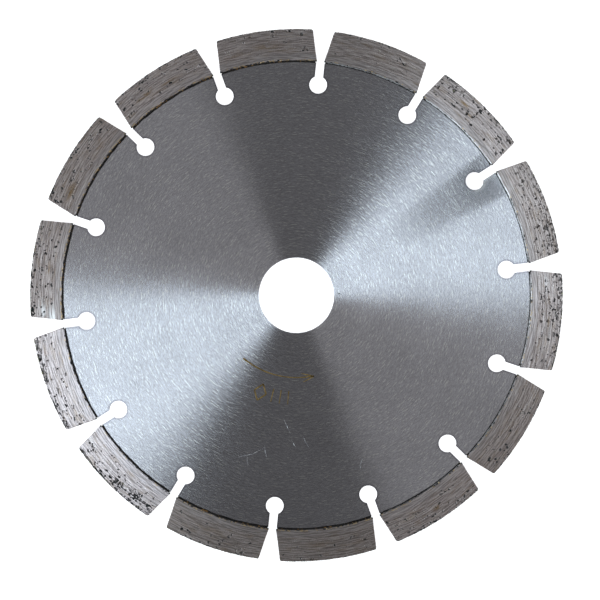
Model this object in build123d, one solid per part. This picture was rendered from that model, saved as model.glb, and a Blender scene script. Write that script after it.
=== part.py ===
from build123d import *
import os

# Segmented diamond blade, lying flat. The origin is the centre of the arbor hole at half thickness.
# +Z is the spindle axis and points out of the marked face. Millimetres and degrees.

# Driving dimensions
BLADE_RADIUS = 90.0
ARBOR_RADIUS = 12.7
SEGMENT_COUNT = 14
FIRST_GULLET_ANGLE = 6.97

# Steel core
CORE_RADIUS = 78.8
CORE_THICKNESS = 1.8
ARBOR_EDGE_BREAK = 0.15
GULLET_WIDTH = 2.8
KEYHOLE_RADIUS = 3.0
KEYHOLE_CENTRE_RADIUS = 71.5

# Segments
SEGMENT_LENGTH = 33.0
SEGMENT_THICKNESS = 2.4
WELD_WIDTH = 0.5
WELD_THICKNESS = 1.6
FOOT_HEIGHT = 2.5

# Worked out from the above
PITCH_ANGLE = 360.0 / SEGMENT_COUNT
FOOT_INNER_RADIUS = CORE_RADIUS + WELD_WIDTH
ABRASIVE_INNER_RADIUS = FOOT_INNER_RADIUS + FOOT_HEIGHT
WELD_LENGTH = SEGMENT_LENGTH - 2 * WELD_WIDTH


def gullet_angles():
    """Angles of the gullets' middle lines, counter-clockwise from +X."""
    return [FIRST_GULLET_ANGLE + i * PITCH_ANGLE for i in range(SEGMENT_COUNT)]


def segment_angles():
    """Angles of the segments' middle lines, each half a pitch on from its gullet."""
    return [angle + PITCH_ANGLE / 2 for angle in gullet_angles()]


def extruded(face, thickness):
    """A flat face made into a plate centred on the blade's middle plane."""
    return extrude(face, amount=thickness / 2, both=True)


def keyhole_gullet(angle):
    """One radial slot, open at the core's rim, that ends in a round stress-relief hole."""
    slot_length = BLADE_RADIUS - KEYHOLE_CENTRE_RADIUS
    slot = Pos(KEYHOLE_CENTRE_RADIUS + slot_length / 2, 0) * Rectangle(slot_length, GULLET_WIDTH)
    hole = Pos(KEYHOLE_CENTRE_RADIUS, 0) * Circle(KEYHOLE_RADIUS)
    return Rot(0, 0, angle) * (slot + hole)


def steel_core():
    """The disc: an arbor hole with broken edges, and one keyhole gullet between each two segments."""
    profile = Circle(CORE_RADIUS)
    for angle in gullet_angles():
        profile -= keyhole_gullet(angle)
    disc = extruded(profile, CORE_THICKNESS)
    disc -= Cylinder(ARBOR_RADIUS, CORE_THICKNESS)
    arbor_edges = disc.edges().filter_by(GeomType.CIRCLE)
    arbor_edges = arbor_edges.filter_by(lambda edge: abs(edge.radius - ARBOR_RADIUS) < 0.01)
    return chamfer(arbor_edges, ARBOR_EDGE_BREAK)


def ring_block(inner_radius, outer_radius, length, thickness, angle):
    """A piece of a ring with parallel ends, square to the segment's own middle line."""
    ring = Circle(outer_radius) - Circle(inner_radius)
    window = Pos(BLADE_RADIUS, 0) * Rectangle(BLADE_RADIUS, length)
    return Rot(0, 0, angle) * extruded(ring & window, thickness)


def weld(angle):
    """The recessed bead that joins a segment's foot to the core's rim."""
    return ring_block(CORE_RADIUS, FOOT_INNER_RADIUS, WELD_LENGTH, WELD_THICKNESS, angle)


def foot(angle):
    """The diamond-free layer of a segment, which takes the weld."""
    return ring_block(FOOT_INNER_RADIUS, ABRASIVE_INNER_RADIUS, SEGMENT_LENGTH, SEGMENT_THICKNESS, angle)


def abrasive(angle):
    """The diamond-bearing layer of a segment, out to the cutting rim."""
    return ring_block(ABRASIVE_INNER_RADIUS, BLADE_RADIUS, SEGMENT_LENGTH, SEGMENT_THICKNESS, angle)


def all_nodes():
    nodes = {"steel_core": steel_core()}
    for number, angle in enumerate(segment_angles(), start=1):
        nodes[f"segment_{number:02d}_weld"] = weld(angle)
        nodes[f"segment_{number:02d}_foot"] = foot(angle)
        nodes[f"segment_{number:02d}_abrasive"] = abrasive(angle)
    return nodes


os.makedirs("parts", exist_ok=True)
for name, shape in all_nodes().items():
    export_step(shape, f"parts/{name}.step")
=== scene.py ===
from collections import namedtuple
from math import cos, pi, radians, sin, tan

import bmesh
import bpy
import numpy as np
from mathutils import Euler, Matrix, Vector


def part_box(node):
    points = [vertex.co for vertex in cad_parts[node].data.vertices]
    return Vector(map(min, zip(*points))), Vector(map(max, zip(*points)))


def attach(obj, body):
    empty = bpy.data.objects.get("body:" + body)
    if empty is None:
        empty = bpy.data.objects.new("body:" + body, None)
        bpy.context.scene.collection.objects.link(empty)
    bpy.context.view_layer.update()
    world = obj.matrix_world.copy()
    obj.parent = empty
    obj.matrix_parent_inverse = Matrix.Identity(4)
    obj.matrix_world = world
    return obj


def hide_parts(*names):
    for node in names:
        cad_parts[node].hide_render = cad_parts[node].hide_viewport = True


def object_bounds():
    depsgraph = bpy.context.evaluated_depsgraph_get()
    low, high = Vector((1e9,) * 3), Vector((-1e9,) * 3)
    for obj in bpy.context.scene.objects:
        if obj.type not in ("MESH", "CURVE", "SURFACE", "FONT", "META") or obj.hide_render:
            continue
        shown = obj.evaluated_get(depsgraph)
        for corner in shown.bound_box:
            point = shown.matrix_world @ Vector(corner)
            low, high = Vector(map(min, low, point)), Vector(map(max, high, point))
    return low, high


# A segmented diamond blade lying on a pale floor, seen from straight above.
# The pieces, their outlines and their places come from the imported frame, in metres. What is set here is the
# surface: its numbers are in millimetres unless a comment says otherwise, and MM turns them into metres.

MM = 0.001
TAU = 2 * pi

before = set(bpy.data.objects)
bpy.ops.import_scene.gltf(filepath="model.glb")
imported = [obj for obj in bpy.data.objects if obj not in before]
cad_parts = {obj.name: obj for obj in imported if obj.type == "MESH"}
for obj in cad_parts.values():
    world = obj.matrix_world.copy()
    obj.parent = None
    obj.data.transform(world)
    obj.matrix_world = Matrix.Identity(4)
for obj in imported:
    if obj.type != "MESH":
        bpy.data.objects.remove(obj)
cad_low, cad_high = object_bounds()
core_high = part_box("steel_core")[1]
CORE_TOP = core_high.z
CORE_RADIUS = core_high.x
SEGMENT_COUNT = sum(name.endswith("_abrasive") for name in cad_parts)

# The gullets, for the heat tint and painted edge shade round them: the turn from one to the next, where the
# first one stands, their half width, and how far out the keyholes are centred. Angles are in radians.
GULLET_PITCH = TAU / SEGMENT_COUNT
GULLET_ANGLE = radians(6.97)
GULLET_HALF_WIDTH = 1.4
KEYHOLE_PLACE = 71.5
KEYHOLE_RADIUS = 3.0


# -------------------- node trees

class Graph:
    """A material's node tree, with short ways to add and join nodes."""

    def __init__(self, name):
        self.material = bpy.data.materials.new(name)
        self.material.use_nodes = True
        self.tree = self.material.node_tree
        self.shader = self.tree.nodes["Principled BSDF"]

    def set(self, socket, value):
        if isinstance(value, bpy.types.NodeSocket):
            self.tree.links.new(value, socket)
        else:
            socket.default_value = value

    def node(self, kind, inputs=None, **settings):
        node = self.tree.nodes.new("ShaderNode" + kind)
        for name, value in settings.items():
            setattr(node, name, value)
        for name, value in (inputs or {}).items():
            self.set(node.inputs[name], value)
        return node

    def principled(self, **inputs):
        for name, value in inputs.items():
            self.set(self.shader.inputs[name.replace("_", " ")], value)

    def math(self, operation, *values):
        node = self.node("Math", operation=operation)
        for socket, value in zip(node.inputs, values):
            self.set(socket, value)
        return node.outputs[0]

    def vector(self, operation, *values):
        node = self.node("VectorMath", operation=operation)
        for socket, value in zip(node.inputs, values):
            self.set(socket, value)
        return node.outputs["Value" if operation == "LENGTH" else "Vector"]

    def mix(self, share, first, second):
        """First colour where share is 0, second where it is 1."""
        node = self.node("Mix", data_type="RGBA")
        self.set(node.inputs["Factor"], share)
        self.set(node.inputs["A"], first)
        self.set(node.inputs["B"], second)
        return node.outputs["Result"]

    def step(self, value, low, high, out_low=0.0, out_high=1.0):
        """Smooth rise from out_low, at low, to out_high, at high."""
        names = ("Value", "From Min", "From Max", "To Min", "To Max")
        values = (value, low, high, out_low, out_high)
        node = self.node("MapRange", dict(zip(names, values)), interpolation_type="SMOOTHSTEP")
        return node.outputs[0]

    def noise(self, vector, scale=1.0, detail=2.0, roughness=0.5):
        inputs = {"Vector": vector, "Scale": scale, "Detail": detail, "Roughness": roughness}
        return self.node("TexNoise", inputs).outputs["Fac"]

    def attribute(self, name):
        return self.node("Attribute", attribute_name=name).outputs["Fac"]

    def bump(self, height, distance):
        return self.node("Bump", {"Height": height, "Distance": distance}).outputs[0]

    def scaled(self, vector, factor):
        """A vector made longer or shorter by a factor that may differ from point to point."""
        inputs = {"Vector": vector, "Scale": factor}
        return self.node("VectorMath", inputs, operation="SCALE").outputs["Vector"]


class Polar:
    """The blade's own polar coordinates, in millimetres, for marks that follow its turning."""

    # How far the noise moves from one hairline to the next, in cells: across, then up. Whole steps up, from
    # the middle of a cell, keep every line equally strong.
    STEP_ACROSS = 5.77
    STEP_UP = 7.0
    MID_CELL = 0.5

    def __init__(self, graph):
        self.graph = graph
        place = graph.node("TexCoord").outputs["Object"]
        self.place = graph.vector("MULTIPLY", place, (1 / MM, 1 / MM, 1 / MM))
        flat = graph.vector("MULTIPLY", self.place, (1, 1, 0))
        self.radius = graph.vector("LENGTH", flat)
        self.outward = graph.vector("NORMALIZE", flat)
        self.tangent = graph.vector("CROSS_PRODUCT", (0, 0, 1), self.outward)

    def distance(self, centre, scale=(1, 1, 0)):
        """How far a point is from a centre, with each direction scaled. Height counts for nothing."""
        apart = self.graph.vector("SUBTRACT", self.place, centre)
        return self.graph.vector("LENGTH", self.graph.vector("MULTIPLY", apart, scale))

    def leaning(self, amount):
        """The direction of the grinding lines, turned outward by an amount that may change along them."""
        return self.graph.vector("ADD", self.tangent, self.graph.scaled(self.outward, amount))

    def streaks(self, arc, width, offset=0.0, detail=2.0):
        """Noise drawn out round the blade: streaks arc radians long and width millimetres wide."""
        graph = self.graph
        around = graph.vector("MULTIPLY", self.outward, (1 / arc, 1 / arc, 0))
        across = graph.math("MULTIPLY_ADD", self.radius, 1 / width, offset)
        height = graph.node("CombineXYZ", {"Z": across}).outputs[0]
        return graph.noise(graph.vector("ADD", around, height), 1.0, detail)

    def hairlines(self, length, width, offset=0.0, echo=0.35):
        """Grinding lines: thin rings that change at random along their length and from ring to ring.
        Each has a fainter line of the opposite sign beside it, its echo."""
        graph = self.graph
        ring = graph.math("FLOOR", graph.math("MULTIPLY", self.radius, 1 / width))
        lines = []
        for line in (ring, graph.math("ADD", ring, 1.0)):
            around = graph.scaled(self.outward, graph.math("MULTIPLY", line, width / length))
            shift = {"X": graph.math("MULTIPLY", line, self.STEP_ACROSS),
                     "Z": graph.math("MULTIPLY_ADD", line, self.STEP_UP, offset + self.MID_CELL)}
            place = graph.vector("ADD", around, graph.node("CombineXYZ", shift).outputs[0])
            lines.append(graph.noise(place, 1.0, 0.0))
        beside = graph.math("MULTIPLY", graph.math("SUBTRACT", 0.5, lines[1]), echo)
        return graph.math("ADD", lines[0], beside)


# -------------------- materials

BRUSHED = 0.25   # a quarter turn: the highlight spreads across the brushing
BORE_NICK = (14.4, 0.6, 0)   # a small nick in the upper face
BURNISHED = (64.5, 36.0, 0)   # a bright stretch beside one gullet
STEP_SHADOW_SIDE = (cos(radians(204)), sin(radians(204)), 0)   # where the painted shadow of the segments' step on the core is widest: the window's side

# Colours of the core's steel.
GROUND_DARK = (0.53, 0.52, 0.56, 1)
GROUND_LIGHT = (0.69, 0.69, 0.74, 1)
GLINT_LIGHT = (0.98, 0.98, 0.97, 1)
GLINT_DARK = (0.34, 0.33, 0.36, 1)
BROAD_STREAK = (0.42, 0.41, 0.44, 1)
FRESH_SCRATCH = (0.98, 0.98, 0.98, 1)
BURNISH = (0.98, 0.98, 0.99, 1)
NICK = (0.10, 0.10, 0.10, 1)
# Partly heat tint, partly painted shade of the edge along the cuts.
HEAT_TINT_AND_EDGE_SHADE = (0.16, 0.14, 0.19, 1)
# Weld soot and the painted shadow of the segments' step on the core.
WELD_SOOT_AND_STEP_SHADOW = (0.012, 0.011, 0.011, 1)
CUT_WALL = (0.17, 0.16, 0.17, 1)

# Colours of the sintered metal.
STREAK_LIGHT = (0.90, 0.87, 0.85, 1)
OCHRE = (0.26, 0.175, 0.095, 1)
GRAIN_DARK = (0.10, 0.095, 0.095, 1)
GRAIN_LIGHT = (0.95, 0.93, 0.90, 1)
# The colour of painted highlights.
HIGHLIGHT_WHITE = (0.95, 0.95, 0.97, 1)
RUST_SPECK = (0.62, 0.46, 0.24, 1)
# Painted shade in pits and dents.
PIT_SHADE = (0.022, 0.026, 0.027, 1)


def side_wall(graph):
    """1 on walls that stand upright, 0 on the flat faces."""
    normal = graph.node("NewGeometry").outputs["True Normal"]
    upright = graph.node("SeparateXYZ", {"Vector": normal}).outputs["Z"]
    return graph.step(graph.math("ABSOLUTE", upright), 0.3, 0.6, 1.0, 0.0)


def gullet_distance(graph, polar):
    """How far a point of the core is from the nearest gullet's edge."""
    parts = graph.node("SeparateXYZ", {"Vector": polar.place}).outputs
    angle = graph.math("ARCTAN2", parts["Y"], parts["X"])
    turn = graph.math("DIVIDE", graph.math("SUBTRACT", angle, GULLET_ANGLE), GULLET_PITCH)
    part_turn = graph.math("SUBTRACT", turn, graph.math("ROUND", turn))
    aside = graph.math("MULTIPLY", part_turn, GULLET_PITCH)
    across = graph.math("MULTIPLY", polar.radius, graph.math("SINE", aside))
    outward = graph.math("MULTIPLY", polar.radius, graph.math("COSINE", aside))
    along = graph.math("SUBTRACT", outward, KEYHOLE_PLACE)
    local = graph.node("CombineXYZ", {"X": along, "Y": across}).outputs[0]
    hole = graph.math("SUBTRACT", graph.vector("LENGTH", local), KEYHOLE_RADIUS)
    far_away = 100.0
    short_of_slot = graph.math("MULTIPLY", graph.math("LESS_THAN", along, 0.0), far_away)
    beside_slot = graph.math("SUBTRACT", graph.math("ABSOLUTE", across), GULLET_HALF_WIDTH)
    return graph.math("MINIMUM", hole, graph.math("ADD", beside_slot, short_of_slot))


def scratches(graph, polar, cell, length, width, share):
    """1 on short straight scratches at odd angles. Only a share of the cells have one."""
    inputs = {"Vector": graph.vector("MULTIPLY", polar.place, (1, 1, 0)), "Scale": 1 / cell}
    cells = graph.node("TexVoronoi", inputs, voronoi_dimensions="2D")
    offset = graph.vector("SUBTRACT", graph.vector("MULTIPLY", polar.place, (1 / cell, 1 / cell, 0)),
                          cells.outputs["Position"])
    chance = graph.node("SeparateXYZ", {"Vector": cells.outputs["Color"]}).outputs
    spin = graph.node("VectorRotate", {"Vector": offset, "Angle": graph.math("MULTIPLY", chance["X"], TAU)},
                      rotation_type="Z_AXIS")
    local = graph.node("SeparateXYZ", {"Vector": spin.outputs[0]}).outputs
    reach = graph.math("MULTIPLY", chance["Y"], length / cell)
    inside = graph.math("LESS_THAN", graph.math("ABSOLUTE", local["X"]), reach)
    thin = graph.step(graph.math("ABSOLUTE", local["Y"]), 0.3 * width / cell, width / cell, 1.0, 0.0)
    chosen = graph.math("LESS_THAN", chance["Z"], share)
    return graph.math("MULTIPLY", graph.math("MULTIPLY", inside, thin), chosen)


def weld_soot_and_step_shadow(graph, polar, ragged, gullet):
    """Below 0 inside the dark edge along the core's rim, partly weld soot and partly the painted shadow of
    the segments' step:
    uneven along the rim, widest on one side, the window's, and reaching into the corners beside the gullets
    as painted shade."""
    rim = graph.math("SUBTRACT", CORE_RADIUS / MM, polar.radius)
    to_side = {0: polar.outward, 1: STEP_SHADOW_SIDE}
    facing = graph.node("VectorMath", to_side, operation="DOT_PRODUCT").outputs["Value"]
    clouds = graph.step(graph.noise(polar.place, 0.3, 3.0, 0.6), 0.35, 0.65, 0.35, 0.75)
    lumpy = graph.math("ADD", clouds, graph.math("MULTIPLY", ragged, 0.3))
    width = graph.math("MULTIPLY", lumpy, graph.step(facing, -0.9, 0.2, 0.15, 0.45))
    # Painted shade in the corners beside the gullets.
    corner_size = 0.45
    corner = graph.math("ADD", rim, graph.math("MAXIMUM", gullet, 0.0))
    return graph.math("MINIMUM", graph.math("SUBTRACT", rim, width),
                      graph.math("SUBTRACT", corner, corner_size))


def core_material():
    """Steel sheet, ground in circles, with laser-cut side walls and a dark band along the cuts, partly heat
    tint and partly painted shade of the cut edge.
    """
    graph = Graph("brushed_core_steel")
    polar = Polar(graph)
    fine = polar.hairlines(0.75, 0.29)
    glint = polar.hairlines(1.6, 0.33, offset=13.0, echo=0.5)
    broad = polar.streaks(0.35, 1.4, offset=31.0)
    cloud = graph.noise(polar.place, 0.06, 3.0)
    ragged = graph.noise(polar.place, 1.7, 3.0)
    gullet = gullet_distance(graph, polar)
    edge = graph.math("ADD", gullet, graph.math("MULTIPLY", ragged, -0.5))
    wall = side_wall(graph)

    colour = graph.mix(graph.step(fine, 0.25, 0.75), GROUND_DARK, GROUND_LIGHT)
    colour = graph.mix(graph.step(glint, 0.61, 0.82, 0.0, 0.60), colour, GLINT_LIGHT)
    colour = graph.mix(graph.step(glint, 0.39, 0.18, 0.0, 0.25), colour, GLINT_DARK)
    colour = graph.mix(graph.step(broad, 0.3, 0.7, 0.0, 0.08), colour, BROAD_STREAK)
    scratch = scratches(graph, polar, cell=4.0, length=0.9, width=0.12, share=0.22)
    colour = graph.mix(scratch, colour, FRESH_SCRATCH)
    nick = polar.distance(BORE_NICK, (0.6, 1, 0))
    colour = graph.mix(graph.step(nick, 0.32, 0.16, 0.0, 0.85), colour, NICK)
    # A dark band along the gullets' cuts: partly heat tint, partly painted shade of the cut edge.
    colour = graph.mix(graph.step(edge, 0.55, -0.15, 0.0, 0.45), colour, HEAT_TINT_AND_EDGE_SHADE)
    near_stretch = graph.step(polar.distance(BURNISHED), 6.5, 3.0)
    burnish = graph.math("MULTIPLY", near_stretch, graph.step(edge, 1.3, 0.2, 0.0, 0.75))
    colour = graph.mix(burnish, colour, BURNISH)
    # The dark edge along the seam: partly weld soot, partly painted shadow of the segments' step.
    soot = weld_soot_and_step_shadow(graph, polar, ragged, gullet)
    colour = graph.mix(graph.step(soot, 0.0, -0.22), colour, WELD_SOOT_AND_STEP_SHADOW)
    colour = graph.mix(wall, colour, CUT_WALL)

    rough = graph.step(cloud, 0.3, 0.7, 0.215, 0.235)
    rough = graph.math("ADD", rough, graph.math("MULTIPLY", graph.math("MAXIMUM", wall, scratch), 0.2))
    grooves = graph.bump(graph.math("ADD", fine, glint), 0.001 * MM)
    graph.principled(Base_Color=colour, Metallic=1.0, Roughness=rough, Normal=grooves,
                     Anisotropic=1.0, Anisotropic_Rotation=BRUSHED,
                     Tangent=polar.leaning(graph.step(glint, 0.25, 0.75, -0.03, 0.03)))
    return graph.material


def ground_metal(name, light, dark, spread, coarse):
    """Sintered metal, ground round the blade: streaks, grain, pits darkened with painted shade, and ochre
    stains. Spread is how strong the faint ochre is, and coarse how strong the grain. The mesh's own
    attributes say how bright a segment is, partly as painted light, and where its painted pit shade, stains,
    rust specks and painted highlights are."""
    graph = Graph(name)
    polar = Polar(graph)
    fine = polar.hairlines(3.2, 0.31, echo=0.5)
    drawn = polar.streaks(0.12, 0.42, offset=57.0, detail=1.0)
    stains = polar.streaks(0.05, 0.8, offset=91.0, detail=3.0)
    grain = graph.noise(polar.place, 2.6, 3.0, 0.7)
    colour = graph.mix(graph.step(fine, 0.25, 0.75), dark, light)
    colour = graph.mix(graph.step(drawn, 0.52, 0.74, 0.0, 0.18), colour, dark)
    colour = graph.mix(graph.step(drawn, 0.40, 0.22, 0.0, 0.18), colour, STREAK_LIGHT)
    faint = graph.step(stains, 0.50, 0.70, 0.0, spread)
    patch = graph.math("MULTIPLY", graph.attribute("stain"), graph.step(stains, 0.36, 0.52))
    colour = graph.mix(graph.math("MAXIMUM", faint, patch), colour, OCHRE)
    colour = graph.mix(graph.step(grain, 0.58, 0.68, 0.0, coarse), colour, GRAIN_DARK)
    colour = graph.mix(graph.step(grain, 0.40, 0.28, 0.0, coarse), colour, GRAIN_LIGHT)
    # Each segment's brightness: its own tone, and also painted light, highest in the two segments that face
    # the window.
    tone = graph.attribute("tone")
    cooler = {"X": graph.math("POWER", tone, 0.94), "Y": tone, "Z": graph.math("POWER", tone, 1.10)}
    colour = graph.vector("MULTIPLY", colour, graph.node("CombineXYZ", cooler).outputs[0])
    # Painted highlights: bright patches on the abrasive, and along the seam's edge on the foot.
    colour = graph.mix(graph.attribute("bare"), colour, HIGHLIGHT_WHITE)
    colour = graph.mix(graph.attribute("speck"), colour, RUST_SPECK)
    # Painted shade in pits and dents, darkest where they are deepest, and in corners.
    colour = graph.mix(graph.attribute("pit"), colour, PIT_SHADE)
    rough = graph.step(fine, 0.3, 0.7, 0.48, 0.34)
    grooves = graph.bump(graph.math("ADD", drawn, grain), 0.035 * MM)
    graph.principled(Base_Color=colour, Metallic=0.9, Roughness=rough, Normal=grooves,
                     Anisotropic=0.85, Anisotropic_Rotation=BRUSHED,
                     Tangent=polar.leaning(graph.step(drawn, 0.25, 0.75, -0.18, 0.18)))
    return graph.material


def weld_material():
    """Weld metal: dark with oxide, rusty in specks, and with a painted highlight on the half beside the foot.
    """
    graph = Graph("oxidised_weld")
    polar = Polar(graph)
    specks = graph.noise(polar.place, 2.2, 2.0)
    soot = graph.noise(polar.place, 5.0, 3.0)
    black, brown, rust = (0.006, 0.006, 0.006, 1), (0.035, 0.032, 0.030, 1), (0.25, 0.14, 0.055, 1)
    highlit = (0.75, 0.75, 0.77, 1)
    colour = graph.mix(graph.step(soot, 0.35, 0.65), black, brown)
    rusty = graph.math("MAXIMUM", graph.step(specks, 0.66, 0.72, 0.0, 0.7), graph.attribute("stain"))
    colour = graph.mix(rusty, colour, rust)
    # Painted highlight on the bead's half beside the foot.
    colour = graph.mix(graph.attribute("bare"), colour, highlit)
    graph.principled(Base_Color=colour, Metallic=0.8, Roughness=graph.step(soot, 0.3, 0.7, 0.40, 0.65),
                     Normal=graph.bump(soot, 0.05 * MM))
    return graph.material


def grit_material():
    """Synthetic diamond: pale straw to grey-green crystals."""
    graph = Graph("diamond_grit")
    polar = Polar(graph)
    tint = graph.noise(polar.place, 1.1, 1.0)
    grey_green, straw = (0.10, 0.105, 0.07, 1), (0.42, 0.40, 0.24, 1)
    colour = graph.mix(graph.step(tint, 0.35, 0.65), grey_green, straw)
    graph.principled(Base_Color=colour, Roughness=0.12, IOR=2.4, Metallic=0.0)
    return graph.material


def etch_material():
    """Brown-gold oxide left by laser marking."""
    graph = Graph("laser_etch")
    polar = Polar(graph)
    burn = graph.noise(polar.place, 0.9, 3.0)
    brown, gold = (0.11, 0.066, 0.013, 1), (0.24, 0.155, 0.045, 1)
    colour = graph.mix(graph.step(burn, 0.30, 0.70), brown, gold)
    graph.principled(Base_Color=colour, Metallic=0.3, Roughness=graph.step(burn, 0.3, 0.7, 0.50, 0.65),
                     Normal=graph.bump(burn, 0.01 * MM))
    return graph.material


def scratch_material():
    """Clean steel, where something dragged across the ground face."""
    graph = Graph("scratched_steel")
    polar = Polar(graph)
    worn = graph.noise(polar.place, 1.4, 2.0)
    dull, bright = (0.16, 0.16, 0.18, 1), (0.62, 0.62, 0.64, 1)
    colour = graph.mix(graph.step(worn, 0.35, 0.65), dull, bright)
    graph.principled(Base_Color=colour, Metallic=0.6, Roughness=graph.step(worn, 0.3, 0.7, 0.55, 0.35))
    return graph.material


# -------------------- mesh tools

def make_piece(name, points, faces, material, slot=None, smooth=35, attributes=None):
    """A mesh object from an array of points and an array of faces that all have as many sides.
    With a slot, it is part of the blade and rides on it."""
    mesh = bpy.data.meshes.new(name)
    sides = faces.shape[1]
    mesh.vertices.add(len(points))
    mesh.vertices.foreach_set("co", np.asarray(points, np.float32).ravel())
    mesh.loops.add(faces.size)
    mesh.loops.foreach_set("vertex_index", faces.astype(np.int32).ravel())
    mesh.polygons.add(len(faces))
    mesh.polygons.foreach_set("loop_start", np.arange(0, faces.size, sides, dtype=np.int32))
    mesh.update(calc_edges=True)
    mesh.validate()
    if smooth:
        mesh.polygons.foreach_set("use_smooth", np.ones(len(faces), bool))
        mesh.set_sharp_from_angle(angle=radians(smooth))
    for key, values in (attributes or {}).items():
        layer = mesh.attributes.new(key, "FLOAT", "POINT")
        layer.data.foreach_set("value", np.asarray(values, np.float32))
    mesh.materials.append(material)
    piece = bpy.data.objects.new(name, mesh)
    bpy.context.scene.collection.objects.link(piece)
    if slot:
        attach(piece, "root")
    return piece


def box_lattice(counts):
    """Points on a unit box's six sides, as fractions, and the quads that join them, facing out."""
    counts = np.array(counts)
    lattice = np.stack(np.meshgrid(*[np.arange(n + 1) for n in counts], indexing="ij"), -1)
    outside = np.any((lattice == 0) | (lattice == counts), axis=-1)
    index = np.full(outside.shape, -1)
    index[outside] = np.arange(outside.sum())
    quads = []
    for axis in range(3):
        for end in (0, counts[axis]):
            side = np.take(index, end, axis=axis)
            corners = (side[:-1, :-1], side[1:, :-1], side[1:, 1:], side[:-1, 1:])
            quad = np.stack(corners, -1).reshape(-1, 4)
            inward = (end == 0) != (axis == 1)
            quads.append(quad[:, ::-1] if inward else quad)
    return lattice[outside] / counts, np.concatenate(quads)


TABLE_SIZE = 4096
ALL_POSITIVE = 1000.0   # moves the noise's cells along, so that none has a negative number
HASH_FACTORS = np.array([73856093, 19349663, 83492791])


def value_noise(points, cell, seed):
    """Smooth random values from -1 to 1, with one fresh value per cell of the given size. Each use has a
    seed of its own, counted from the segment's number."""
    table = np.random.default_rng(seed).uniform(-1, 1, TABLE_SIZE)
    place = points / cell + ALL_POSITIVE
    base = np.floor(place).astype(np.int64)
    part = place - base
    part = part * part * (3 - 2 * part)
    total = np.zeros(len(points))
    for corner in np.ndindex(2, 2, 2):
        key = (base + np.array(corner)) * HASH_FACTORS
        hashed = key[:, 0] ^ key[:, 1] ^ key[:, 2]
        share = np.prod(np.where(corner, part, 1 - part), axis=1)
        total += share * table[hashed % TABLE_SIZE]
    return total


class Block:
    """A CAD block of the rim: a piece of a ring with parallel ends. Its own axes are
    x along the block, y outward from the blade's centre and z up, in millimetres."""

    def __init__(self, node):
        corners = np.array([v.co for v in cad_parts[node].data.vertices]) / MM
        heading = np.arctan2(corners[:, 1].sum(), corners[:, 0].sum())
        turned = np.arctan2(corners[:, 1], corners[:, 0]) - heading
        turned = (turned + pi) % TAU - pi
        self.angle = heading + (turned.min() + turned.max()) / 2
        radius = np.hypot(corners[:, 0], corners[:, 1])
        self.inner, self.outer = radius.min(), radius.max()
        self.half_length = self.inner * sin((turned.max() - turned.min()) / 2)
        self.half_height = corners[:, 2].max()

    def lattice(self, spacing):
        """Surface points as (along, radius, up), and their quads."""
        size = (2 * self.half_length, self.outer - self.inner, 2 * self.half_height)
        counts = [max(2, round(length / spacing)) for length in size]
        share, quads = box_lattice(counts)
        low = (-self.half_length, self.inner, -self.half_height)
        return np.array(low) + share * np.array(size), quads

    def rounded(self, points, ends, inner, outer, flats):
        """Rounds the edges. Each number is how far the rounding reaches in from that side."""
        low = np.array([-self.half_length + ends, self.inner + inner, -self.half_height + flats])
        high = np.array([self.half_length - ends, self.outer - outer, self.half_height - flats])
        core = np.clip(points, low, high)
        beyond = points - core
        reach = np.where(beyond < 0, [ends, inner, flats], [ends, outer, flats])
        unit = np.divide(beyond, reach, out=np.zeros_like(beyond), where=reach > 0)
        length = np.maximum(np.linalg.norm(unit, axis=1, keepdims=True), 1e-9)
        return core + reach * unit / length * (length > 1e-6)

    def placed(self, points):
        """From (along, radius, up) to metres in the blade's frame."""
        along, radius, up = points.T
        outward = np.sqrt(radius ** 2 - along ** 2)
        x = outward * cos(self.angle) - along * sin(self.angle)
        y = outward * sin(self.angle) + along * cos(self.angle)
        return np.stack([x, y, up], 1) * MM


def scoop(points, near, centre, radius, stretch, wobble):
    """Pushes those of the near points that lie inside a lumpy ball out to its surface, which leaves a pit.
    The ball is drawn out along the block by stretch."""
    shape = np.array([stretch, 1, 1])
    offset = (points[near] - centre) / shape
    distance = np.maximum(np.linalg.norm(offset, axis=1), 1e-6)
    turn = np.arctan2(offset[:, 1], offset[:, 0])
    reach = radius * (1 + 0.20 * np.sin(2 * turn + wobble) + 0.12 * np.sin(3 * turn + 2.3 * wobble))
    inside = distance < reach
    points[near[inside]] += (offset * shape)[inside] * (reach / distance - 1)[inside, None]


# -------------------- segments

# Each segment's finish, in order round the blade: pits in each face, chips along each rim edge, how dark the
# pits' painted shade is, brightness, which also carries painted light, how much of the seam has rusty specks,
# and how strong the painted highlight along the seam is.
Finish = namedtuple("Finish", "pits chips shade tone rust bare")
# The brightness column also carries painted light: the eighth and ninth segments, which face the window, are
# much brighter.
FINISHES = [Finish(*row) for row in (
    (150, 14, 0.62, 0.93, 0.1, 1.0), (130, 8, 0.80, 1.05, 0.1, 1.0), (18, 3, 0.84, 0.87, 0.2, 0.5),
    (32, 6, 0.84, 0.98, 0.8, 0.0), (75, 5, 0.84, 1.06, 0.9, 0.0), (76, 6, 0.84, 0.94, 0.7, 0.0),
    (95, 14, 0.84, 0.99, 0.8, 0.0), (76, 30, 0.84, 1.44, 0.2, 0.0), (95, 26, 0.86, 1.48, 0.2, 0.0),
    (34, 10, 0.84, 0.76, 0.8, 0.0), (24, 6, 0.84, 0.79, 0.7, 0.0), (84, 5, 0.84, 0.99, 0.4, 0.2),
    (44, 5, 0.84, 0.88, 0.3, 0.4), (140, 10, 0.70, 1.11, 0.4, 0.7),
)]

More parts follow.
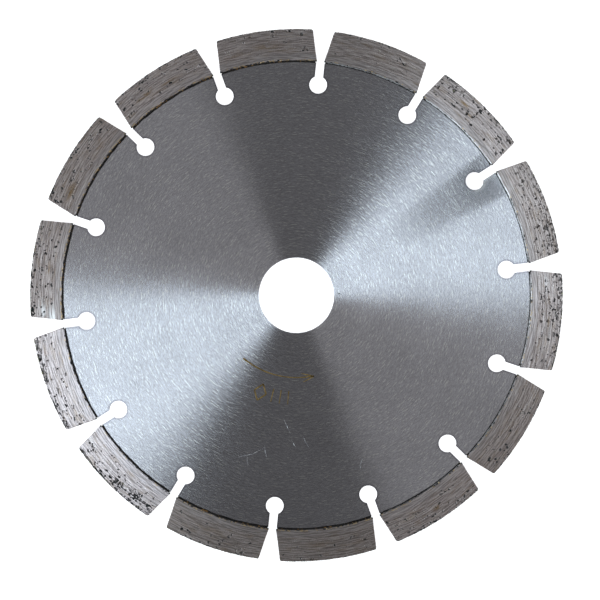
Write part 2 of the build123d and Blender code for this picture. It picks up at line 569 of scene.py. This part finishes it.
# Ochre patches: angle, radius, half length and half width, strength. Angles are in degrees in these lists.
STAINS = [
    (48.6, 86.0, 2.0, 0.5, 1.0), (46.2, 84.2, 1.4, 0.4, 0.8), (70.0, 85.0, 4.0, 1.2, 0.3),
    (97.0, 84.5, 5.0, 1.0, 0.6), (92.0, 82.8, 3.0, 0.7, 0.5), (104.0, 83.5, 3.0, 0.8, 0.5),
    (121.0, 84.0, 4.0, 0.6, 0.7), (127.2, 84.6, 3.0, 0.6, 1.0), (154.8, 84.0, 3.2, 1.1, 1.0),
    (144.0, 83.2, 3.0, 0.6, 0.6), (174.0, 84.3, 2.4, 0.6, 0.8), (250.0, 84.5, 5.0, 1.0, 0.4),
    (275.0, 84.5, 5.0, 1.0, 0.4), (303.5, 86.0, 1.6, 0.7, 1.0), (297.0, 84.5, 3.0, 0.6, 0.4),
    (354.0, 85.6, 3.0, 0.5, 0.6), (349.0, 83.4, 2.0, 0.4, 0.5), (18.0, 85.0, 4.0, 0.6, 0.3),
]

# Painted highlights on the abrasive, given the same way.
HIGHLIGHT_PATCHES = [
    (184.4, 82.6, 3.6, 1.4, 1.0), (183.0, 85.6, 2.6, 1.2, 0.7), (351.0, 85.2, 4.0, 0.8, 0.6),
    (2.0, 84.0, 3.0, 0.8, 0.5), (214.0, 85.0, 5.0, 1.0, 0.3),
]

# Larger breaks in the rim: angle, radius of the bite, and how deep it reaches inward.
BREAKS = [
    (190.5, 2.6, 1.3), (193.8, 2.2, 1.2), (196.6, 1.8, 1.2), (201.0, 0.9, 0.7),
    (216.5, 2.2, 1.0), (219.5, 2.6, 1.1), (222.6, 1.6, 0.7), (224.8, 0.9, 0.8),
    (242.5, 1.5, 0.8), (183.6, 0.9, 0.6), (10.2, 0.8, 0.5), (12.4, 0.7, 0.4),
]

# Worn stretches of the flat faces: start and end angle, inner and outer radius, gouges in each face.
WORN = [
    (215.4, 225.2, 89.3, 90.1, 60), (225.6, 235.0, 86.4, 88.4, 46), (226.0, 237.0, 89.0, 90.0, 20),
    (189.5, 199.0, 88.2, 90.0, 34), (203.0, 211.5, 88.6, 90.0, 34), (207.5, 211.3, 81.9, 86.0, 12),
    (9.0, 16.0, 86.0, 89.8, 34), (353.0, 6.0, 87.6, 89.9, 36), (182.0, 186.5, 88.4, 90.0, 16),
]

# How far apart the points of each finished mesh are.
ABRASIVE_SPACING = 0.115
FOOT_SPACING = 0.14
WELD_SPACING = 0.09

# Each kind of piece draws its chances from its own range of seeds, one for each segment.
ABRASIVE_SEED = 100
FOOT_SEED = 200
GRIT_SEED = 400

RIM_PITS = 110   # in the rim face of each abrasive block

# Dents up to the first depth get no painted shade, and they are darkest this much deeper.
SHALLOW = 0.04
ABRASIVE_DARKENING = 0.08
FOOT_DARKENING = 0.10


def unturned(angle):
    """An angle in radians brought between minus and plus half a turn."""
    return (angle + pi) % TAU - pi


def scoop_at(along, radius, up, size, stretch=1.0):
    return np.array([along, radius, up]), size, stretch


def face_pits(block, finish, side, dice):
    """Pits all over one flat face, thicker towards the rim. Every fourth one lies close to the one before."""
    deep = block.outer - block.inner - 0.4
    along = inward = 0.0
    for index in range(finish.pits):
        if index % 4 == 3:
            along = np.clip(along + dice.normal(0, 1.3), -block.half_length, block.half_length)
            inward = np.clip(inward + dice.normal(0, 0.3), 0, deep)
        else:
            along = dice.uniform(-0.98, 0.98) * block.half_length
            inward = deep * dice.random() ** 1.4
        size = dice.uniform(0.20, 0.30) * dice.choice([1.0, 1.0, 1.0, 1.5])
        lift = size * dice.uniform(0.1, 0.5)
        up = side * (block.half_height + lift)
        yield scoop_at(along, block.outer - inward, up, size, dice.uniform(1.0, 1.5))


def edge_pits(block, finish, side, dice):
    """Pits that cut into the edge between one flat face and the rim."""
    for _ in range(8 + finish.pits // 4):
        along = dice.uniform(-1, 1) * block.half_length
        size = dice.uniform(0.24, 0.42)
        radius = block.outer + size * dice.uniform(-0.5, 0.2)
        up = side * (block.half_height + size * dice.uniform(0.1, 0.5))
        yield scoop_at(along, radius, up, size, dice.uniform(1.0, 1.3))


def edge_chips(block, finish, side, dice):
    """Larger chips out of the same edge."""
    for _ in range(finish.chips):
        along = dice.uniform(-1, 1) * block.half_length
        size = dice.uniform(0.35, 0.9)
        radius = block.outer + size * dice.uniform(0.4, 0.8)
        up = side * (block.half_height + size * dice.uniform(0.3, 0.7))
        yield scoop_at(along, radius, up, size, dice.uniform(1.0, 1.6))


def worn_gouges(block, side, dice):
    """Gouges in one flat face, drawn out along the block, in the worn stretches that lie on it."""
    for start, end, inner, outer, count in WORN:
        half_turn = (end - start) % 360 / 2
        middle = block.outer * unturned(radians(start + half_turn) - block.angle)
        half = block.outer * radians(half_turn)
        if abs(middle) > block.half_length:
            continue
        for _ in range(count):
            size = dice.uniform(0.20, 0.36)
            along = middle + half * dice.uniform(-1, 1)
            radius = dice.uniform(inner, outer)
            up = side * (block.half_height + size * dice.uniform(0.1, 0.4))
            yield scoop_at(along, radius, up, size, dice.uniform(1.2, 2.4))


def rim_breaks(block, side):
    """The larger breaks in the rim that lie on this block."""
    for angle, size, depth in BREAKS:
        along = block.outer * unturned(radians(angle) - block.angle)
        if abs(along) < block.half_length + size:
            up = side * (block.half_height + 0.55 * size)
            yield scoop_at(along, block.outer + size - depth, up, size, 1.3)


def rim_pits(block, dice):
    """Pits all over the rim face."""
    for _ in range(RIM_PITS):
        along = dice.uniform(-1, 1) * block.half_length
        size = dice.uniform(0.15, 0.34)
        radius = block.outer + size * dice.uniform(0.2, 0.6)
        yield scoop_at(along, radius, dice.uniform(-1, 1) * block.half_height, size)


def end_pits(block, finish, dice):
    """Pits in the two ends."""
    for _ in range(14 + finish.pits // 3):
        end = dice.choice([-1, 1])
        size = dice.uniform(0.15, 0.4)
        radius = dice.uniform(block.inner + 0.3, block.outer)
        along = end * (block.half_length + size * dice.uniform(0.3, 0.7))
        yield scoop_at(along, radius, dice.uniform(-1, 1) * block.half_height, size)


def abrasive_scoops(block, finish, dice):
    """Everything that is scooped out of one abrasive block."""
    scoops = []
    for side in (-1, 1):
        scoops += face_pits(block, finish, side, dice)
        scoops += edge_pits(block, finish, side, dice)
        scoops += edge_chips(block, finish, side, dice)
        scoops += worn_gouges(block, side, dice)
        scoops += rim_breaks(block, side)
    scoops += rim_pits(block, dice)
    scoops += end_pits(block, finish, dice)
    return scoops


LARGEST_LOBE = 1.4   # no lump of a scoop's ball reaches further out than this many radii


def dig(points, scoops, dice):
    """Makes every scoop, then says how far each point has moved."""
    before = points.copy()
    order = np.argsort(points[:, 0])
    places = points[order, 0]
    for centre, size, stretch in scoops:
        reach = LARGEST_LOBE * size * stretch
        first, last = np.searchsorted(places, (centre[0] - reach, centre[0] + reach))
        scoop(points, order[first:last], centre, size, stretch, dice.uniform(0, TAU))
    return np.linalg.norm(points - before, axis=1)


def patch_strength(block, points, patches):
    """How strongly each point is marked by the patches near it."""
    strength = np.zeros(len(points))
    for angle, radius, length, width, most in patches:
        along = block.outer * unturned(radians(angle) - block.angle)
        apart = ((points[:, 0] - along) / length) ** 2 + ((points[:, 1] - radius) / width) ** 2
        strength = np.maximum(strength, most * np.exp(-apart))
    return strength


def near_corners(block, points, radius, reach):
    """1 where points are close to either end of the block at one radius, falling to 0 at the reach."""
    apart = np.hypot(np.abs(points[:, 0]) - block.half_length, points[:, 1] - radius)
    return np.clip((reach - apart) / (0.4 * reach), 0, 1)


def kept_inside(block, points):
    """Brings stray points back to the block's own outline."""
    low = (-block.half_length, block.inner, -block.half_height)
    high = (block.half_length, block.outer, block.half_height)
    return np.clip(points, low, high)


def make_abrasive(number, material):
    """The abrasive block with its worn corners, pits, chips and nibbled rim."""
    name = f"segment_{number:02d}_abrasive"
    block = Block(name)
    finish = FINISHES[number - 1]
    dice = np.random.default_rng(ABRASIVE_SEED + number)
    points, quads = block.lattice(ABRASIVE_SPACING)
    points = block.rounded(points, ends=0.10, inner=0.0, outer=0.14, flats=0.10)
    edge_width, corner_wear, rim_roughness, end_roughness = 0.7, 0.15, 0.07, 0.06
    endward = np.clip((np.abs(points[:, 0]) - block.half_length + edge_width) / edge_width, 0, 1)
    rimward = np.clip((points[:, 1] - block.outer + edge_width) / edge_width, 0, 1)
    points[:, 0] -= np.sign(points[:, 0]) * endward * rimward ** 2 * corner_wear
    points[:, 1] -= rimward * endward ** 2 * corner_wear
    depth = dig(points, abrasive_scoops(block, finish, dice), dice)
    rough = value_noise(points, 0.30, number) + value_noise(points, 0.9, number + 50) - 1
    points[:, 1] += rimward * rough * rim_roughness
    ragged = value_noise(points, 0.45, number + 80) - 1
    points[:, 0] += np.sign(points[:, 0]) * endward * ragged * end_roughness
    points = kept_inside(block, points)
    # How dark the painted shade in the dents is, varying over the block.
    darkness = np.clip(finish.shade + 0.3 * value_noise(points, 1.1, number + 120), 0, 1)
    streaky = np.clip(0.5 + 1.4 * value_noise(points * (0.1, 1, 1), 0.35, number + 160), 0, 1)
    # Painted shade at the block's worn corners by the rim.
    corner = near_corners(block, points, block.outer + 0.3, 1.1)
    corner *= np.clip(0.3 + 1.6 * value_noise(points, 0.6, number + 200), 0, 0.8)
    dented = np.clip((depth - SHALLOW) / ABRASIVE_DARKENING, 0, 1)
    # The bright patches here are painted highlights.
    attributes = {"pit": np.maximum(darkness * dented, corner),
                  "stain": patch_strength(block, points, STAINS),
                  "bare": patch_strength(block, points, HIGHLIGHT_PATCHES) * streaky,
                  "tone": np.full(len(points), finish.tone)}
    piece = make_piece(name + "_ground", block.placed(points), quads, material,
                       "diamond_abrasive", attributes=attributes)
    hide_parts(name)


def foot_nicks(block, finish, dice):
    """Small nicks along both edges of the seam, and a larger one at each of its corners."""
    for side in (-1, 1):
        for _ in range(round(50 - 32 * finish.bare)):
            size = dice.uniform(0.15, 0.45)
            along = dice.uniform(-1, 1) * block.half_length
            radius = block.inner - size * dice.uniform(0.1, 0.7)
            up = side * (block.half_height + 0.2 * size)
            yield scoop_at(along, radius, up, size, dice.uniform(1.0, 2.5))
        for end in (-1, 1):
            along = end * (block.half_length + 0.1)
            up = side * (block.half_height + 0.1)
            yield scoop_at(along, block.inner - 0.2, up, dice.uniform(0.5, 0.75))


def seam_specks(block, finish, points, dice):
    """1 in the middle of small specks of rust close to the seam, falling to 0 round each."""
    speck = np.zeros(len(points))
    for _ in range(round(44 * finish.rust)):
        along = dice.uniform(-1, 1) * block.half_length
        radius = block.inner + dice.uniform(0.1, 0.4)
        size = dice.uniform(0.10, 0.20)
        apart = ((points[:, 0] - along) / (1.8 * size)) ** 2 + ((points[:, 1] - radius) / size) ** 2
        speck = np.maximum(speck, np.exp(-apart ** 2))
    return speck


def make_foot(number, material):
    """The diamond-free foot, nicked or rusty along its seam with the core, with a painted highlight along the
    seam's edge and painted shade in its nicks and corners.
    """
    name = f"segment_{number:02d}_foot"
    block = Block(name)
    finish = FINISHES[number - 1]
    dice = np.random.default_rng(FOOT_SEED + number)
    points, quads = block.lattice(FOOT_SPACING)
    points = block.rounded(points, ends=0.10, inner=0.20, outer=0.0, flats=0.16)
    depth = dig(points, list(foot_nicks(block, finish, dice)), dice)
    points = kept_inside(block, points)
    seam = np.clip((block.inner + 0.55 - points[:, 1]) / 0.35, 0, 1)
    rust = seam * np.clip((1.3 * value_noise(points, 0.8, number + 260) - 1.3 + finish.rust) * 2, 0, 1)
    speck = seam_specks(block, finish, points, dice)
    # Painted shade in the seam's corners beside the gullets.
    corner_shade = near_corners(block, points, block.inner - 0.1, 0.8)
    dented = np.clip((depth - SHALLOW) / FOOT_DARKENING, 0, 1) * (1 - rust) * (1 - speck)
    # A painted highlight along the seam's edge, strongest where it faces the window.
    edge = np.clip((block.inner + 0.22 - points[:, 1]) / 0.10, 0, 1)
    highlit = np.clip(0.5 + 1.8 * value_noise(points, 4.0, number + 280), 0, 1)
    attributes = {"pit": np.maximum(dented, corner_shade),
                  "bare": 0.85 * finish.bare * edge * highlit,
                  "stain": np.maximum(rust, 0.8 * patch_strength(block, points, STAINS)),
                  "speck": speck,
                  "tone": np.full(len(points), finish.tone)}
    piece = make_piece(name + "_ground", block.placed(points), quads, material,
                       "segment_foot", attributes=attributes)
    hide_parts(name)


def make_weld(number, material):
    """A narrow bead, rippled where the beam's spots overlap."""
    name = f"segment_{number:02d}_weld"
    block = Block(name)
    finish = FINISHES[number - 1]
    points, quads = block.lattice(WELD_SPACING)
    across = (points[:, 1] - block.inner) / (block.outer - block.inner) - 0.5
    spot_pitch = 0.38
    ripple = np.abs(np.sin((points[:, 0] + 0.25 * across ** 2) * pi / spot_pitch))
    lumps = value_noise(points, 1.3, number + 300)
    upward = points[:, 2] / block.half_height
    points[:, 2] += upward * (0.05 * ripple + 0.05 * lumps - 0.12 * (1 - 4 * across ** 2) - 0.04)
    specks = value_noise(points, 0.5, number + 340)
    # The bead stays dark in its corners by the gullets, as painted shade.
    corner_shade = near_corners(block, points, block.outer - 0.25, 1.1)
    # Painted highlight on the bead's half beside the foot, strongest where the seam faces the window.
    bare = finish.bare * np.clip((across - 0.05 + 0.35 * specks) * 8, 0, 1) * (1 - corner_shade)
    attributes = {"stain": np.clip(specks * 3 - 3 + 2.6 * finish.rust, 0, 1), "bare": bare}
    piece = make_piece(name + "_bead", block.placed(points), quads, material, "weld_bead",
                       attributes=attributes)
    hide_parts(name)


def crystal_shape():
    """A cube with its corners cut away, the usual shape of a grown diamond, as points and triangles."""
    mesh = bmesh.new()
    bmesh.ops.create_cube(mesh, size=1.0)
    bmesh.ops.bevel(mesh, geom=mesh.verts[:], offset=0.42, affect="VERTICES")
    bmesh.ops.triangulate(mesh, faces=mesh.faces[:])
    points = np.array([v.co for v in mesh.verts])
    faces = np.array([[v.index for v in face.verts] for face in mesh.faces])
    mesh.free()
    return points, faces


CRYSTALS = 120   # in each segment
RIM_CRYSTALS = 80   # how many of them are in the rim
PROUD_OF_RIM = 0.05
PROUD_OF_FACE = 0.02


def make_grit(number, material):
    """Diamond crystals that stand just proud of the rim and lie almost level with the flat faces."""
    block = Block(f"segment_{number:02d}_abrasive")
    dice = np.random.default_rng(GRIT_SEED + number)
    shape, faces = crystal_shape()
    points, corners = [], []
    for index in range(CRYSTALS):
        size = dice.uniform(0.26, 0.42)
        along = dice.uniform(-0.98, 0.98) * block.half_length
        spin = Euler(dice.uniform(0, TAU, 3)).to_matrix()
        crystal = size * shape @ np.array(spin)
        if index < RIM_CRYSTALS:
            radius = block.outer + PROUD_OF_RIM - crystal[:, 1].max()
            up = dice.uniform(-1, 1) * (block.half_height - crystal[:, 2].max())
        else:
            radius = dice.uniform(block.inner + 0.5, block.outer - 0.3)
            side = dice.choice([-1, 1])
            up = side * (block.half_height + PROUD_OF_FACE - (side * crystal[:, 2]).max())
        corners.append(faces + len(shape) * index)
        points.append(crystal + (along, radius, up))
    make_piece(f"segment_{number:02d}_grit", block.placed(np.concatenate(points)),
               np.concatenate(corners), material, "diamond_abrasive", smooth=0)


# -------------------- etched marks

ETCH_HEIGHT = 0.012   # how far the marks stand above the core's upper face
ETCH_ROOT = 0.02   # how far they reach into it


def stroke(path, widths):
    """A closed flat ribbon along a path of (x, y) points, on the core's upper face."""
    path, half = np.array(path), np.array(widths) / 2
    heading = np.gradient(path, axis=0)
    heading /= np.linalg.norm(heading, axis=1, keepdims=True)
    aside = np.stack([-heading[:, 1], heading[:, 0]], 1) * half[:, None]
    low = CORE_TOP / MM - ETCH_ROOT
    high = CORE_TOP / MM + ETCH_HEIGHT
    ring = [np.c_[path + sign * aside, np.full(len(path), z)]
            for sign, z in ((1, high), (1, low), (-1, low), (-1, high))]
    points = np.stack(ring, 1).reshape(-1, 3)
    faces = [(4 * i + k, 4 * i + (k + 1) % 4, 4 * i + 4 + (k + 1) % 4, 4 * i + 4 + k)
             for i in range(len(path) - 1) for k in range(4)]
    last = 4 * (len(path) - 1)
    faces += [(3, 2, 1, 0), (last, last + 1, last + 2, last + 3)]
    return points, np.array(faces)


def make_etching(name, strokes, material):
    points, faces, count = [], [], 0
    for more_points, more_faces in strokes:
        points.append(more_points)
        faces.append(more_faces + count)
        count += len(more_points)
    make_piece(name, np.concatenate(points) * MM, np.concatenate(faces), material, "core_steel", smooth=0)


def polar_point(radius, angle):
    return radius * cos(radians(angle)), radius * sin(radians(angle))


def make_arrow(material):
    """The turning arrow: an arc with two barbs. Its stroke is widest at its tail."""
    radius, first, last, steps = 27.8, 229.8, 281.0, 40
    shaft = [polar_point(radius, angle) for angle in np.linspace(first, last, steps)]
    widths = 0.34 + 0.26 * np.abs(np.linspace(-1, 0.6, steps)) ** 1.5
    tip = (5.9, -27.4)
    barbs = [stroke([start, tip], [0.26, 0.46]) for start in ((1.7, -26.4), (2.3, -29.3))]
    make_etching("turning_arrow", [stroke(shaft, widths)] + barbs, material)


def make_plain_marks(material):
    """A plain lozenge and three plain bars beside it."""
    heading = 249.5
    centre = np.array(polar_point(34.9, heading))
    outward = np.array(polar_point(1.0, heading))
    aside = np.array([-outward[1], outward[0]])
    tall, wide = 2.9 * outward, 2.1 * aside
    corners = [centre + tall, centre + wide, centre - tall, centre - wide]
    lozenge = [stroke([corners[i], corners[(i + 1) % 4]], [0.48, 0.48]) for i in range(4)]
    bars = [stroke([polar_point(32.5, angle), polar_point(37.0, angle)], [0.40, 0.26])
            for angle in (256.4, 260.9, 265.4)]
    make_etching("plain_marks", lozenge + bars, material)


# Long scratches on the core's upper face: the points each one runs through.
SCRATCHES = [
    ((-4.4, -41.6), (-3.2, -44.2), (-1.9, -47.1)), ((2.3, -47.7), (3.1, -49.7), (4.1, -51.3)),
    ((-19.5, -54.6), (-14.6, -53.6), (-10.8, -51.4)), ((-10.8, -50.6), (-10.5, -53.0), (-9.9, -55.3)),
    ((-1.6, -48.9), (-0.9, -50.4), (-0.1, -51.5)), ((22.3, -55.2), (21.4, -57.4), (21.9, -59.2)),
    ((-16.7, -54.4), (-16.6, -56.0), (-16.3, -57.4)), ((19.2, -16.1), (19.9, -15.1), (20.6, -14.3)),
    ((-55.4, -28.7), (-54.2, -30.4), (-52.9, -32.4)), ((-44.1, -45.6), (-42.5, -47.1), (-40.7, -48.6)),
    ((-46.1, -53.8), (-44.7, -55.0), (-43.2, -56.1)), ((-57.1, -50.2), (-55.4, -52.1), (-53.6, -53.5)),
    ((45.2, 28.6), (45.5, 28.0), (45.8, 27.5)), ((40.3, 35.0), (40.7, 34.5), (41.0, 34.1)),
]


def make_scratches(material):
    tapered = (0.05, 0.13, 0.05)
    strokes = [stroke(path, tapered) for path in SCRATCHES]
    make_etching("scratches", strokes, material)


# -------------------- floor, light and camera

FLOOR_GLOW = 0.8
FLOOR_HALF_SIZE = 4.0   # metres
FLOOR_GAP = 0.03   # keeps the floor just clear of the blade's underside

# The softboxes stand in a ring round the blade, in metres: how far away, and where they start and end upward.
PANEL_DISTANCE = 1.5
PANEL_LOW = 0.05
PANEL_HIGH = 8.5


def floor_material():
    """A pale matt floor that glows enough to stay plain white under the soft light."""
    graph = Graph("pale_floor")
    mottle = graph.noise(graph.node("TexCoord").outputs["Object"], 3.0)
    pale, paler = (0.88, 0.88, 0.88, 1), (0.92, 0.92, 0.92, 1)
    colour = graph.mix(graph.step(mottle, 0.3, 0.7), pale, paler)
    graph.principled(Base_Color=colour, Roughness=0.9,
                     Emission_Color=(1, 1, 1, 1), Emission_Strength=FLOOR_GLOW)
    return graph.material


def make_floor():
    half = FLOOR_HALF_SIZE
    z = cad_low.z - FLOOR_GAP * MM
    corners = np.array([(-half, -half, z), (half, -half, z), (half, half, z), (-half, half, z)])
    floor = make_piece("floor", corners, np.array([[0, 1, 2, 3]]), floor_material(), smooth=0)


def add_panel(name, start, end, radiance, colour=(1, 1, 1)):
    """An upright softbox that fills the blade's view from azimuth start to end, in degrees."""
    width = 2 * PANEL_DISTANCE * tan(radians(end - start) / 2)
    height = PANEL_HIGH - PANEL_LOW
    light = bpy.data.lights.new(name, "AREA")
    light.shape = "RECTANGLE"
    light.size = width
    light.size_y = height
    light.energy = radiance * pi * width * height
    light.color = colour
    holder = bpy.data.objects.new(name, light)
    bpy.context.scene.collection.objects.link(holder)
    azimuth = radians((start + end) / 2)
    inward = Vector((-cos(azimuth), -sin(azimuth), 0))
    holder.location = -inward * PANEL_DISTANCE + Vector((0, 0, (PANEL_LOW + PANEL_HIGH) / 2))
    holder.rotation_mode = "QUATERNION"
    holder.rotation_quaternion = inward.to_track_quat("-Z", "Y")
    holder.visible_camera = False


def add_flag(name, azimuth, reach, half_width, low, high):
    """A narrow black card that hangs upright above one streak of the core and keeps light off it.
    Its azimuth is in degrees. It hangs at a reach from the blade's centre, between two heights."""
    heading = radians(azimuth)
    foot = Vector((cos(heading), sin(heading), 0)) * reach
    aside = Vector((-sin(heading), cos(heading), 0)) * half_width
    ends = ((-1, low), (1, low), (1, high), (-1, high))
    corners = [foot + sign * aside + Vector((0, 0, z)) for sign, z in ends]
    graph = Graph(name)
    graph.principled(Base_Color=(0.01, 0.01, 0.01, 1), Roughness=0.9)
    flag = make_piece(name, np.array(corners) * MM, np.array([[0, 1, 2, 3]]), graph.material, smooth=0)
    flag.visible_camera = False


def add_world(level):
    """A dim even studio that lights the blade, and that the camera sees as white."""
    world = bpy.data.worlds.new("studio")
    world.use_nodes = True
    tree = world.node_tree
    sky = tree.nodes["Background"]
    seen = tree.nodes.new("ShaderNodeLightPath").outputs["Is Camera Ray"]
    strength = tree.nodes.new("ShaderNodeMapRange")
    strength.inputs["To Min"].default_value = level
    strength.inputs["To Max"].default_value = 1.0
    tree.links.new(seen, strength.inputs["Value"])
    tree.links.new(strength.outputs[0], sky.inputs["Strength"])
    sky.inputs["Color"].default_value = (1, 1, 1, 1)
    bpy.context.scene.world = world


def add_camera():
    """Straight above, with +Y up the picture and the blade a little left of its middle and above it."""
    camera = bpy.data.cameras.new("camera")
    camera.sensor_width = 36
    camera.lens = 213
    camera.clip_end = 20
    holder = bpy.data.objects.new("camera", camera)
    holder.location = (1.2 * MM, -1.6 * MM, 1.2)
    bpy.context.scene.collection.objects.link(holder)
    bpy.context.scene.camera = holder


# -------------------- the blade

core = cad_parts["steel_core"]
core.data.materials.clear()
core.data.materials.append(core_material())

abrasive_metal = ground_metal("abrasive_metal", light=(0.545, 0.478, 0.468, 1), dark=(0.248, 0.211, 0.203, 1),
                              spread=0.32, coarse=0.75)
foot_metal = ground_metal("foot_metal", light=(0.535, 0.481, 0.48, 1), dark=(0.272, 0.24, 0.237, 1),
                          spread=0.2, coarse=0.35)
weld_metal = weld_material()
grit = grit_material()
for number in range(1, SEGMENT_COUNT + 1):
    make_abrasive(number, abrasive_metal)
    make_foot(number, foot_metal)
    make_weld(number, weld_metal)
    make_grit(number, grit)
etch = etch_material()
make_arrow(etch)
make_plain_marks(etch)
make_scratches(scratch_material())

# A window on one side and a reflector on the other make the core's bright fans. Pale walls stand between
# them: azimuths are in degrees, then comes the radiance.
DAYLIGHT = (0.86, 0.98, 1.05)
make_floor()
add_world(0.077)
add_panel("window_start", 179, 203, 2.55, DAYLIGHT)
add_panel("window_middle", 203, 219, 2.9, DAYLIGHT)
add_panel("window_end", 219, 228, 2.7, DAYLIGHT)
add_panel("window_edge", 228, 236, 1.3, DAYLIGHT)
add_panel("reflector", -4.5, 44.0, 1.65, DAYLIGHT)
add_panel("reflector_edge", 44.0, 51.5, 0.95, DAYLIGHT)
add_panel("wall_by_window", 161, 179, 0.43)
add_panel("wall", 114.5, 161, 0.38)
add_panel("wall_by_reflector", 336, 355.5, 0.46)
add_panel("low_wall", 291.5, 336, 0.352)
add_panel("far_wall", 51.5, 114.5, 0.183)
add_flag("window_flag", 31.5, 28, 3.6, 54, 500)
add_flag("reflector_flag", 31.5, 83, 8.5, 14, 80)
add_camera()
bpy.context.scene.view_settings.view_transform = "Standard"
